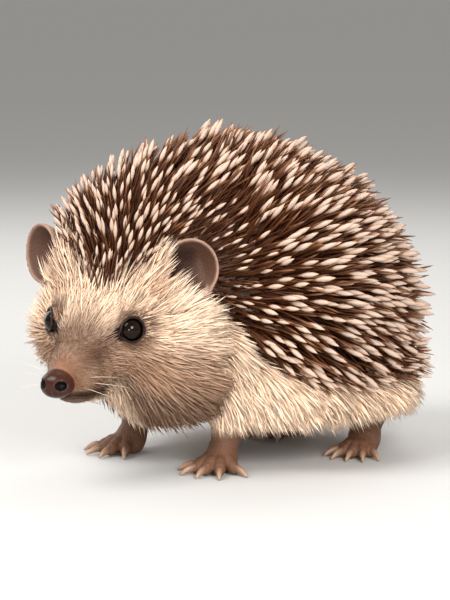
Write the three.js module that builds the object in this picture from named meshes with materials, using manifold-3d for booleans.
// A life-size standing hedgehog, head turned a little to its left.
// Millimetres, +Z up. The animal faces -Y and its left side is +X. Places are measured from a point on the
// floor under the trunk, and the whole is moved at the end to stand on the middle of its outline in plan.
// The forms are rounded fields that flow into each other, meshed whole and parted by thin cuts.
// The outlines are those of the coat: the tips of the spines on the back and of the fur elsewhere.

import * as THREE from 'three';
import { mergeVertices } from 'three/addons/utils/BufferGeometryUtils.js';
import Module from 'manifold-3d';

const wasm = await Module();
wasm.setup();

// ---------------------------------------------------------------- driving sizes

const GAP = 0.36; // thin cut between neighbouring pieces

const CELL = { trunk: 13, head: 6.6, leg: 6.6 }; // mesh cells
const FILLET = { trunk: 16, neck: 9, face: 9, muzzle: 8, wrist: 5 }; // widths of the blends between forms

const BACK_HEIGHT = 124; // floor to the highest spine tips
const BACK_WIDTH = 115; // trunk, over the spines
const SHOULDER_LINE = -38; // the front of the broad part of the trunk
const RUMP_LINE = 76.5; // the rearmost spine tips
const WIDEST_AT = 48; // height of the widest level of the trunk
const SKIRT_HEIGHT = 12.5; // floor to the lowest fur of the flanks

const HEAD_TURN = THREE.MathUtils.degToRad(30); // towards the animal's left
const HEAD_TILT = THREE.MathUtils.degToRad(2.4); // left side down
const POLL = [1.5, -56.7, 78.2]; // the point midway between the ears
const EYE = { side: 14.8, ahead: 17, below: 21.6, radius: 4.7 };
const NOSE = { ahead: 43.2, below: 39.4, semi: [5.9, 5.2, 4.9] };
const NOSTRIL = { side: 3.1, ahead: 47.6, below: 39.2, semi: [1.5, 1.8, 1.3] };
const JAW = { ahead: 25, below: 43.8, semi: [5.6, 14, 4.6], slope: THREE.MathUtils.degToRad(4) };
// Side views of three cuts through the head, as [ahead is negative, up] in its own frame.
const HAIR_LINE = [[40, -4], [4, -3], [-8, 0], [-22, 6], [-60, 30]];
const MOUTH_LINE = [[-80, -43], [-60, -43.4], [-40, -44], [-20, -44.8], [0, -46], [20, -47]];
const THROAT_LINE = [[-90, -54], [-50, -53], [-25, -51], [-8, -49], [8, -45], [30, -42], [60, -40]];
const EAR = { side: 30.8, ahead: 1, halfWidth: 10.5, halfHeight: 11.5, cup: 6.5, wall: 1.8, splay: 28 };

const PALM = { fore: [6.4, 6.5, 5.6], hind: [6, 9.5, 5.6] }; // half sizes of the feet without their toes
const PAD_DEPTH = 1.5; // how much of each palm's round underside is cut off flat by the floor
const TOE = { root: 2.5, reach: 11.2, knuckle: 4.4, radius: 2.5, slope: 0.34 };
const TOE_TIP = { height: 1.7, radius: 1.8 };
const OUTER_TOE_REACH = 0.88; // the first and last toe, as a share of the others' reach
const CLAW = { length: 4.6, radius: 1.3 };
const LEG_RADII = { fore: [5.2, 11], hind: [6, 13] }; // at the wrist or ankle, and at the shoulder or hip
const TOE_FAN = { fore: [-66, -32, -4, 26, 66], hind: [-48, -24, -2, 20, 44] }; // degrees, inner toe first
const JOINT_HEIGHT = 9.5; // floor to each wrist and ankle

const FEET = {
  forefoot_left: { at: [26, -27.5], heading: 28, kind: 'fore' },
  forefoot_right: { at: [-23.5, -36.5], heading: -14, kind: 'fore' },
  hindfoot_left: { at: [31, 35], heading: 34, kind: 'hind' },
  hindfoot_right: { at: [-15, 32], heading: -4, kind: 'hind' },
};

const TAIL = { ends: [[0, 62, 34], [0, 77, 15.5]], radius: 3.6 };

// Side view of the edge of the spines along the flank, [y, z], seen halfway to the head's turn.
const SPINE_LINE = [
  [-90, 84], [-52, 78], [-42.5, 64], [-39.5, 48], [-33, 39], [-20, 32.5], [6, 28.7], [50, 28], [110, 27],
];
// Upright cuts across the trunk: how far back each one is, and how it slants towards the turned head.
const CROSS_CUT = {
  nape: [[0, -24, 0], [0.25, -1, 0]],
  rump: [[0, 34, 0], [0, -1, 0]],
  neck: [[0, -33, 0], [0.27, -1, 0]],
  haunch: [[0, 16, 0], [0, -1, 0]],
};
const BEHIND_EARS = 9; // the cut between the head and the neck
const NEAR_SHOULDER = { at: [36, 0, -20], slant: [1, 0.35, 0] }; // the head's outer limit beside the shoulder

const COLOUR = {
  spines: 0x6b4a35,
  fur: 0xe8d2b8,
  muzzle: 0x8a6452,
  nose: 0x4a2a20,
  eye: 0x0d0806,
  ear: 0x86614f,
  leg: 0x7a5240,
  claw: 0xd9b596,
};

// ---------------------------------------------------------------- fields
// A field gives the distance in mm from a point to a rounded form, negative inside it.

// An ellipsoid whose radii may differ on its low and its high side; a power over 2 makes it boxier.
function egg(centre, low, high = low, power = 2) {
  return (x, y, z) => {
    const d = [x - centre[0], y - centre[1], z - centre[2]];
    const r = d.map((v, i) => (v < 0 ? low[i] : high[i]));
    const k = d.reduce((sum, v, i) => sum + Math.abs(v / r[i]) ** power, 0) ** (1 / power);
    if (k < 1e-6) return -Math.min(...r);
    const slope = Math.hypot(...d.map((v, i) => Math.abs(v / r[i] / k) ** (power - 1) / r[i]));
    return (k - 1) / slope;
  };
}

// A limb from a to b with round ends, tapering from radius ra to rb.
function limb(a, b, ra, rb) {
  const axis = b.map((v, i) => v - a[i]);
  const length2 = axis.reduce((sum, v) => sum + v * v, 0);
  return (x, y, z) => {
    const d = [x - a[0], y - a[1], z - a[2]];
    const along = d.reduce((sum, v, i) => sum + v * axis[i], 0) / length2;
    const t = Math.min(1, Math.max(0, along));
    return Math.hypot(d[0] - t * axis[0], d[1] - t * axis[1], d[2] - t * axis[2]) - ra - t * (rb - ra);
  };
}

// The union of fields, with fillets about k wide where they meet.
function blend(k, ...fields) {
  return (x, y, z) =>
    fields.map((f) => f(x, y, z)).reduce((a, b) => {
      const h = Math.max(k - Math.abs(a - b), 0) / k;
      return Math.min(a, b) - (h * h * k) / 4;
    });
}

// A field given in a frame of its own.
function placed(frame, field) {
  const [a, b, c, , d, e, f, , g, h, i, , j, k, l] = frame.clone().invert().elements;
  return (x, y, z) =>
    field(a * x + d * y + g * z + j, b * x + e * y + h * z + k, c * x + f * y + i * z + l);
}

// ---------------------------------------------------------------- meshing

// The closed surface where a field is zero, inside a box, with one vertex in each cell that it crosses.
function surfaceOf(field, low, high, cell) {
  const n = low.map((v, i) => Math.ceil((high[i] - v) / cell) + 1);
  const step = [1, n[0], n[0] * n[1]];
  const value = new Float32Array(n[0] * n[1] * n[2]);
  const cells = [];
  for (let k = 0, at = 0; k < n[2]; k++)
    for (let j = 0; j < n[1]; j++)
      for (let i = 0; i < n[0]; i++, at++) {
        value[at] = field(low[0] + i * cell, low[1] + j * cell, low[2] + k * cell);
        cells.push([i, j, k]);
      }
  const vertexOf = new Map();
  const position = [];
  cells.forEach((c, at) => {
    if (c.some((v, a) => v >= n[a] - 1)) return;
    const crossing = meanCrossing(value, at, step);
    if (!crossing) return;
    const p = onto(field, c.map((v, a) => low[a] + (v + crossing[a]) * cell), cell);
    vertexOf.set(at, position.length / 3);
    position.push(...p);
  });
  const index = [];
  cells.forEach((c, at) => {
    for (let a = 0; a < 3; a++) {
      if (c[a] >= n[a] - 1) continue;
      const inside = value[at] < 0;
      if (inside === value[at + step[a]] < 0) continue;
      const u = step[(a + 1) % 3];
      const v = step[(a + 2) % 3];
      const [p, q, r, s] = [at - u - v, at - v, at, at - u].map((id) => vertexOf.get(id));
      index.push(...(inside ? [p, q, r, p, r, s] : [p, r, q, p, s, r]));
    }
  });
  const g = new THREE.BufferGeometry();
  g.setAttribute('position', new THREE.Float32BufferAttribute(position, 3));
  g.setIndex(index);
  return g;
}

// The mean place in a cell, each coordinate from 0 to 1, where its edges cross the surface, or null.
function meanCrossing(value, at, step) {
  const sum = [0, 0, 0];
  let count = 0;
  for (let a = 0; a < 3; a++)
    for (let corner = 0; corner < 4; corner++) {
      const du = corner & 1;
      const dv = corner >> 1;
      const from = at + du * step[(a + 1) % 3] + dv * step[(a + 2) % 3];
      const [v0, v1] = [value[from], value[from + step[a]]];
      if (v0 < 0 === v1 < 0) continue;
      sum[a] += v0 / (v0 - v1);
      sum[(a + 1) % 3] += du;
      sum[(a + 2) % 3] += dv;
      count++;
    }
  return count ? sum.map((v) => v / count) : null;
}

// A point moved onto the surface along the field's slope, by at most a third of a cell each pass.
function onto(field, p, cell) {
  const e = 0.05;
  for (let pass = 0; pass < 2; pass++) {
    const d = field(...p);
    const slope = [0, 1, 2].map((a) => {
      const q = [...p];
      q[a] += e;
      return (field(...q) - d) / e;
    });
    const size = Math.hypot(...slope);
    const move = Math.max(-cell / 3, Math.min(cell / 3, d / Math.max(size, 0.3)));
    p = p.map((v, a) => v - (move * slope[a]) / Math.max(size, 0.3));
  }
  return p;
}

// ---------------------------------------------------------------- joining and cutting

function solidOf(geometry) {
  const g = geometry.clone();
  ['normal', 'uv'].forEach((name) => g.deleteAttribute(name));
  const merged = mergeVertices(g, 1e-4);
  const vertProperties = new Float32Array(merged.attributes.position.array);
  return new wasm.Manifold(
    new wasm.Mesh({ numProp: 3, vertProperties, triVerts: new Uint32Array(merged.index.array) }),
  );
}

function geometryOf(solid) {
  const mesh = solid.getMesh();
  const g = new THREE.BufferGeometry();
  g.setAttribute('position', new THREE.BufferAttribute(new Float32Array(mesh.vertProperties), 3));
  g.setIndex(new THREE.BufferAttribute(new Uint32Array(mesh.triVerts), 1));
  g.computeVertexNormals();
  return g;
}

const HALF_WORLD = 300;

// The same surface, every vertex moved outwards by a distance: the socket for a piece.
function grownBy(distance, geometry) {
  const g = geometry.clone();
  g.computeVertexNormals();
  const { position, normal } = g.attributes;
  for (let i = 0; i < position.count; i++) {
    const p = new THREE.Vector3().fromBufferAttribute(position, i);
    p.addScaledVector(new THREE.Vector3().fromBufferAttribute(normal, i), distance);
    position.setXYZ(i, p.x, p.y, p.z);
  }
  return g;
}

// Everything on the +normal side of a plane through a point, set back from it by half a thin cut.
function beyond(point, normal, setBack = GAP / 2) {
  const g = new THREE.BoxGeometry(2 * HALF_WORLD, 2 * HALF_WORLD, HALF_WORLD);
  g.translate(0, 0, HALF_WORLD / 2 + setBack);
  const towards = new THREE.Vector3(...normal).normalize();
  g.applyQuaternion(new THREE.Quaternion().setFromUnitVectors(new THREE.Vector3(0, 0, 1), towards));
  return solidOf(g.translate(...point));
}

// The two sides of such a plane.
const partedBy = (point, normal) => [beyond(point, normal), beyond(point, normal.map((v) => -v))];

// The space above and below a line of [y, z] points in side view, carried right across the body.
function partedByLine(points, frame = new THREE.Matrix4()) {
  const line = new THREE.SplineCurve(points.map(([y, z]) => new THREE.Vector2(y, z))).getPoints(14);
  const toSide = new THREE.Matrix4().makeBasis(
    new THREE.Vector3(0, 1, 0),
    new THREE.Vector3(0, 0, 1),
    new THREE.Vector3(1, 0, 0),
  );
  return [1, -1].map((side) => {
    const far = side * HALF_WORLD;
    const edge = line.map((p) => new THREE.Vector2(p.x, p.y + (side * GAP) / 2));
    const corners = [edge.at(-1), edge[0]].map((p) => new THREE.Vector2(p.x, far));
    const shape = new THREE.Shape([...edge, ...corners]);
    const g = new THREE.ExtrudeGeometry(shape, { depth: 2 * HALF_WORLD, bevelEnabled: false });
    return solidOf(g.translate(0, 0, -HALF_WORLD).applyMatrix4(toSide).applyMatrix4(frame));
  });
}

// A round rod along a curve, of changing radius, with flat ends.
function rod(curve, radiusAt, rings, sides) {
  const frames = curve.computeFrenetFrames(rings, false);
  const position = [...curve.getPoint(0).toArray(), ...curve.getPoint(1).toArray()];
  for (let i = 0; i <= rings; i++)
    for (let j = 0; j < sides; j++) {
      const turn = (2 * Math.PI * j) / sides;
      const r = radiusAt(i / rings);
      const p = curve.getPoint(i / rings);
      p.addScaledVector(frames.normals[i], r * Math.cos(turn));
      p.addScaledVector(frames.binormals[i], r * Math.sin(turn));
      position.push(...p.toArray());
    }
  const at = (i, j) => 2 + i * sides + (j % sides);
  const index = [];
  for (let j = 0; j < sides; j++) {
    index.push(0, at(0, j + 1), at(0, j), 1, at(rings, j), at(rings, j + 1));
    for (let i = 0; i < rings; i++)
      index.push(at(i, j), at(i, j + 1), at(i + 1, j + 1), at(i, j), at(i + 1, j + 1), at(i + 1, j));
  }
  const g = new THREE.BufferGeometry();
  g.setAttribute('position', new THREE.Float32BufferAttribute(position, 3));
  return solidOf(g.setIndex(index));
}

const minus = (solid, ...cutters) => cutters.reduce((left, cutter) => left.subtract(cutter), solid);

// ---------------------------------------------------------------- the coat, as one form

const headFrame = new THREE.Matrix4().makeRotationZ(HEAD_TURN)
  .multiply(new THREE.Matrix4().makeRotationY(HEAD_TILT))
  .setPosition(...POLL);
const inHead = (...p) => new THREE.Vector3(...p).applyMatrix4(headFrame).toArray();
const SIDES = { left: 1, right: -1 };

const spinedBack = egg(
  [0, 4, WIDEST_AT],
  [BACK_WIDTH / 2, 4 - SHOULDER_LINE, WIDEST_AT - SKIRT_HEIGHT],
  [BACK_WIDTH / 2, RUMP_LINE - 4, BACK_HEIGHT - WIDEST_AT],
);
const skirt = egg([0, 8, 26], [52, 38, 26 - SKIRT_HEIGHT], [52, 64, 20], 3);
const shoulders = limb([0, -6, 60], [0, -32, 56], 50, 34);
const nape = egg([-4, -14, 71], [34, 53, 30], [33, 45, 54]);
const chest = egg([2, -36, 38], [29, 26, 24], [31, 34, 26], 2.3);

const crown = egg([0, 14, 1], [36, 27, 30], [36, 27, 33]);
const faceCone = limb([0, 1, -22], [0, -28, -34], 23, 9.5);
const cheeks = Object.values(SIDES).map((s) => egg([13.5 * s, 1, -27.5], [21.5, 13, 18]));
const muzzle = limb([0, -20, -34], [0, -39, -38.2], 10, 5.6);
const headForm = blend(FILLET.muzzle, blend(FILLET.face, crown, faceCone, ...cheeks), muzzle);
const trunkForm = blend(FILLET.trunk, spinedBack, skirt, shoulders, nape, chest);
const coat = blend(FILLET.neck, trunkForm, placed(headFrame, headForm));

const whole = { low: [-75, -130, 5], high: [75, 95, 145] };
const body = solidOf(surfaceOf(coat, whole.low, whole.high, CELL.trunk));
const headEnd = solidOf(surfaceOf(coat, whole.low, [whole.high[0], -14, whole.high[2]], CELL.head));

// ---------------------------------------------------------------- eyes, nose and ears

// An ellipsoid in the head's frame, nose-down by a slope; grown by a distance it is the socket for itself.
function lump(at, semi, { slope = 0, grown = 0, detail = 2 } = {}) {
  const g = new THREE.IcosahedronGeometry(1, detail).scale(...semi.map((r) => r + grown));
  return solidOf(g.rotateX(slope).translate(...at).applyMatrix4(headFrame));
}
const eyeball = (side, grown = 0) =>
  lump([side * EYE.side, -EYE.ahead, -EYE.below], [EYE.radius, EYE.radius, EYE.radius], { grown });
const noseBall = (grown = 0) => lump([0, -NOSE.ahead, -NOSE.below], NOSE.semi, { grown });
const nostril = (side) =>
  lump([side * NOSTRIL.side, -NOSTRIL.ahead, -NOSTRIL.below], NOSTRIL.semi, { detail: 1 });
const jawLump = (grown = 0) => lump([0, -JAW.ahead, -JAW.below], JAW.semi, { slope: JAW.slope, grown });

// A cupped, rounded ear: a bowl of even wall, opening forwards and outwards, its foot inside the head.
// The socket that takes it is the same bowl, a gap larger and filled in front.
const SOCKET_FILL = 5;
function earSolid(side, socket = false) {
  const [rings, spokes] = [3, 14];
  const grown = socket ? GAP : 0;
  const bowl = (r, turn, inner) => {
    const wall = (EAR.wall / 2 + grown) * Math.sqrt(1 - 0.75 * r * r);
    const sideways = r * (EAR.halfWidth + grown) * Math.cos(turn);
    const upright = r * (EAR.halfHeight + grown) * Math.sin(turn);
    const back = EAR.cup * (1 - r * r);
    if (inner && socket) return [sideways, -wall - SOCKET_FILL * (1 - r * r), upright];
    return [sideways, back + (inner ? -wall : wall), upright];
  };
  const position = [bowl(0, 0, true), bowl(0, 0, false)];
  [true, false].forEach((inner) => {
    for (let i = 1; i <= rings; i++)
      for (let j = 0; j < spokes; j++) position.push(bowl(i / rings, (2 * Math.PI * j) / spokes, inner));
  });
  const at = (face, i, j) => 2 + face * rings * spokes + (i - 1) * spokes + (j % spokes);
  const index = [];
  for (let j = 0; j < spokes; j++) {
    index.push(0, at(0, 1, j), at(0, 1, j + 1), 1, at(1, 1, j + 1), at(1, 1, j));
    for (let i = 1; i < rings; i++) {
      const [a, b, c, d] = [at(0, i, j), at(0, i + 1, j), at(0, i + 1, j + 1), at(0, i, j + 1)];
      const [e, f, g, h] = [at(1, i, j), at(1, i + 1, j), at(1, i + 1, j + 1), at(1, i, j + 1)];
      index.push(a, b, c, a, c, d, e, g, f, e, h, g);
    }
    const [p, q, r, s] = [at(0, rings, j), at(1, rings, j), at(1, rings, j + 1), at(0, rings, j + 1)];
    index.push(p, q, r, p, r, s);
  }
  const g = new THREE.BufferGeometry();
  g.setAttribute('position', new THREE.Float32BufferAttribute(position.flat(), 3));
  g.setIndex(index);
  g.applyMatrix4(
    new THREE.Matrix4()
      .makeRotationZ(side * THREE.MathUtils.degToRad(EAR.splay))
      .setPosition(side * EAR.side, -EAR.ahead, 0),
  );
  return solidOf(g.applyMatrix4(headFrame));
}

// ---------------------------------------------------------------- legs and feet

// One leg: its form from the palm up, and its toes and claws as curves, in the whole animal's frame.
function legOf({ at, heading, kind }) {
  const side = Math.sign(at[0]);
  const frame = new THREE.Matrix4()
    .makeRotationZ(THREE.MathUtils.degToRad(heading))
    .setPosition(at[0], at[1], 0);
  const placedPoint = (p) => new THREE.Vector3(...p).applyMatrix4(frame);
  const arc = (points) => new THREE.QuadraticBezierCurve3(...points.map(placedPoint));
  const digits = TOE_FAN[kind].map((degrees, i) => {
    const turn = THREE.MathUtils.degToRad(side * degrees);
    const reach = TOE.reach * (i === 0 || i === 4 ? OUTER_TOE_REACH : 1);
    const along = (r, z) => [r * Math.sin(turn), -r * Math.cos(turn), z];
    const sloping = (r) => along(r, TOE_TIP.height - TOE.slope * (r - reach));
    const nail = reach + GAP;
    return {
      toe: arc([along(TOE.root, TOE.knuckle), sloping(reach - 3), sloping(reach)]),
      claw: arc([sloping(nail), sloping(nail + 0.5 * CLAW.length), along(nail + CLAW.length, 0.4)]),
    };
  });
  const palm = placed(frame, egg([0, kind === 'fore' ? 0.5 : 3, PALM[kind][2] - PAD_DEPTH], PALM[kind]));
  const joint = placedPoint([0, kind === 'fore' ? 1 : 5, JOINT_HEIGHT]).toArray();
  const root = [at[0] * 0.7 + side * 7, at[1] + 7, 30];
  const form = blend(FILLET.wrist, palm, limb(joint, root, ...LEG_RADII[kind]));
  const [x, y] = at;
  const surface = surfaceOf(form, [x - 30, y - 30, -4], [x + 30, y + 30, 54], CELL.leg);
  return { solid: solidOf(surface), socket: solidOf(grownBy(GAP, surface)), digits };
}

// ---------------------------------------------------------------- parting and export

const hedgehog = new THREE.Group();

function piece(name, colour, roughness, solid) {
  const material = new THREE.MeshStandardMaterial({ color: colour, roughness, metalness: 0 });
  const mesh = new THREE.Mesh(geometryOf(solid), material);
  mesh.name = name;
  hedgehog.add(mesh);
}

const legs = Object.entries(FEET).map(([name, foot]) => [name, legOf(foot)]);
const legSockets = legs.map(([, leg]) => leg.socket);
const earSockets = Object.values(SIDES).map((side) => earSolid(side, true));

// The head, ahead of a plane behind the ears, inside the near shoulder and above the line of the throat.
const forward = [Math.sin(HEAD_TURN), -Math.cos(HEAD_TURN), 0];
const [aheadOfEars, behindEars] = partedBy(inHead(0, BEHIND_EARS, 0), forward);
const outward = new THREE.Vector3(...NEAR_SHOULDER.slant).transformDirection(headFrame).toArray();
const [outerSide, innerSide] = partedBy(inHead(...NEAR_SHOULDER.at), outward);
const [aboveThroat, belowThroat] = partedByLine(THROAT_LINE, headFrame);
const [aboveHairline, belowHairline] = partedByLine(HAIR_LINE, headFrame);
const [aboveMouth, belowMouth] = partedByLine(MOUTH_LINE, headFrame);
const eyeSockets = Object.values(SIDES).map((side) => eyeball(side, GAP));
const jawSocket = jawLump(GAP).subtract(aboveMouth);
const headBlock = headEnd.intersect(aheadOfEars).intersect(innerSide).intersect(aboveThroat);
const headWhole = minus(headBlock, ...earSockets, ...eyeSockets, noseBall(GAP), ...legSockets);

piece('crown', COLOUR.spines, 0.7, headWhole.intersect(aboveHairline));
piece('head', COLOUR.fur, 0.85, headWhole.intersect(belowHairline).subtract(jawSocket));
piece('jaw', COLOUR.muzzle, 0.85, jawLump().intersect(belowMouth));
piece('nose', COLOUR.nose, 0.35, minus(noseBall(), ...Object.values(SIDES).map(nostril)));
Object.entries(SIDES).forEach(([name, side]) => piece(`eye_${name}`, COLOUR.eye, 0.08, eyeball(side)));
Object.entries(SIDES).forEach(([name, side]) => piece(`ear_${name}`, COLOUR.ear, 0.6, earSolid(side)));

// The trunk: spined above the spine line, furred below it.
const neckFrame = new THREE.Matrix4().makeRotationZ(HEAD_TURN / 2);
const [spined, furred] = partedByLine(SPINE_LINE, neckFrame);
const [aheadOfBack, behindNape] = partedBy(...CROSS_CUT.nape);
const [aheadOfRump, rumpSide] = partedBy(...CROSS_CUT.rump);
const [neckSide, behindNeck] = partedBy(...CROSS_CUT.neck);
const [aheadOfHaunch, haunchSide] = partedBy(...CROSS_CUT.haunch);
const tailOf = (grown) => {
  const axis = new THREE.LineCurve3(...TAIL.ends.map((p) => new THREE.Vector3(...p)));
  return rod(axis, (t) => TAIL.radius * (1 - 0.6 * t ** 2) + grown, 4, 9);
};
const trunkBlock = body.intersect(behindEars.add(outerSide).add(belowThroat));
const trunk = minus(trunkBlock, tailOf(GAP), ...earSockets, ...legSockets);
const spines = trunk.intersect(spined);
const fur = trunk.intersect(furred);

piece('nape', COLOUR.spines, 0.7, spines.intersect(aheadOfBack));
piece('back', COLOUR.spines, 0.7, spines.intersect(behindNape).intersect(aheadOfRump));
piece('rump', COLOUR.spines, 0.7, spines.intersect(rumpSide));
piece('neck', COLOUR.fur, 0.85, fur.intersect(neckSide));
piece('belly', COLOUR.fur, 0.85, fur.intersect(behindNeck).intersect(aheadOfHaunch));
piece('haunches', COLOUR.fur, 0.85, fur.intersect(haunchSide));

piece('tail', COLOUR.leg, 0.8, tailOf(0));

const floor = beyond([0, 0, 0], [0, 0, 1], 0);
const [aboveJoint, belowJoint] = partedBy([0, 0, JOINT_HEIGHT], [0, 0, 1]);
legs.forEach(([name, leg]) => {
  const toeRadius = (t) => TOE.radius + (TOE_TIP.radius - TOE.radius) * t ** 2;
  const toes = leg.digits.map(({ toe }) => rod(toe, toeRadius, 2, 7));
  const foot = toes.reduce((palm, toe) => palm.add(toe), leg.solid.intersect(belowJoint));
  piece(name.replace('foot', 'leg'), COLOUR.leg, 0.7, leg.solid.intersect(aboveJoint));
  piece(name, COLOUR.leg, 0.7, foot.intersect(floor));
  leg.digits.forEach(({ claw }, i) => {
    const radius = (t) => CLAW.radius * (1 - 0.8 * t ** 1.5);
    piece(`claw_${name}_${i + 1}`, COLOUR.claw, 0.4, rod(claw, radius, 2, 5).intersect(floor));
  });
});

// The origin goes to the middle of the whole model's outline in plan, on the floor.
const middle = new THREE.Box3().setFromObject(hedgehog).getCenter(new THREE.Vector3());
hedgehog.children.forEach((mesh) => mesh.geometry.translate(-middle.x, -middle.y, 0));

export default hedgehog;
